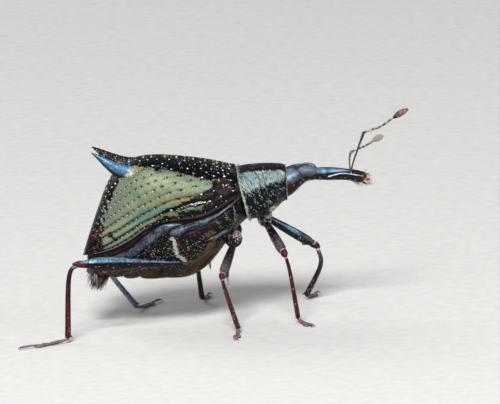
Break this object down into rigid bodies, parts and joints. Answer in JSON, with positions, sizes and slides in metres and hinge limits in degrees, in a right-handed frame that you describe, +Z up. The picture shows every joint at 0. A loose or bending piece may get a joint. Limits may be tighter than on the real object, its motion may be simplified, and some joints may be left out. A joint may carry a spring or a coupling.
{
  "type": "spined weevil model",
  "caption": "Still life-size model of the beetle Scolopterus aequus: long snout, elbowed feelers, ribbed green wing cases with rear spines, standing on its legs.",
  "frame": {"origin": "on the floor under the middle of the model's box, between the feet", "axes": "+X forward towards the snout, +Y to the animal's left, +Z up from the floor that the feet stand on"},
  "size_m": [0.0113, 0.0065, 0.0057],
  "materials": {
    "green_wing_case": "pale metallic sage green cuticle, black at the edges, with rows of pits",
    "black_cuticle": "glossy black cuticle with a purple sheen and pale scales",
    "blue_grey_cuticle": "smooth blue-grey metallic cuticle",
    "eye": "faceted grey-black compound eye",
    "red_brown_cuticle": "translucent red-brown cuticle",
    "purple_black_cuticle": "purple-black cuticle with a metallic blue upper side",
    "grey_brown_foot": "grey-brown, finely haired",
    "feeler": "dark brown with silvery hairs",
    "feeler_club": "grey-brown, velvety"
  },
  "bodies": {
    "root": {"abdomen": "black_cuticle", "club_left": "feeler_club", "club_right": "feeler_club", "coxa_front_left": "purple_black_cuticle", "coxa_front_right": "purple_black_cuticle", "coxa_hind_left": "purple_black_cuticle", "coxa_hind_right": "purple_black_cuticle", "coxa_mid_left": "purple_black_cuticle", "coxa_mid_right": "purple_black_cuticle", "elytron_left": "green_wing_case", "elytron_right": "green_wing_case", "eye_left": "eye", "eye_right": "eye", "femur_front_left": "purple_black_cuticle", "femur_front_right": "purple_black_cuticle", "femur_hind_left": "purple_black_cuticle", "femur_hind_right": "purple_black_cuticle", "femur_mid_left": "purple_black_cuticle", "femur_mid_right": "purple_black_cuticle", "funicle_left": "feeler", "funicle_right": "feeler", "head": "blue_grey_cuticle", "mandibles": "red_brown_cuticle", "pronotum": "black_cuticle", "rostrum": "blue_grey_cuticle", "scape_left": "feeler", "scape_right": "feeler", "scutellum": "black_cuticle", "tarsus_front_left": "grey_brown_foot", "tarsus_front_right": "grey_brown_foot", "tarsus_hind_left": "grey_brown_foot", "tarsus_hind_right": "grey_brown_foot", "tarsus_mid_left": "grey_brown_foot", "tarsus_mid_right": "grey_brown_foot", "thorax": "black_cuticle", "tibia_front_left": "red_brown_cuticle", "tibia_front_right": "red_brown_cuticle", "tibia_hind_left": "red_brown_cuticle", "tibia_hind_right": "red_brown_cuticle", "tibia_mid_left": "red_brown_cuticle", "tibia_mid_right": "red_brown_cuticle"}
  },
  "joints": []
}
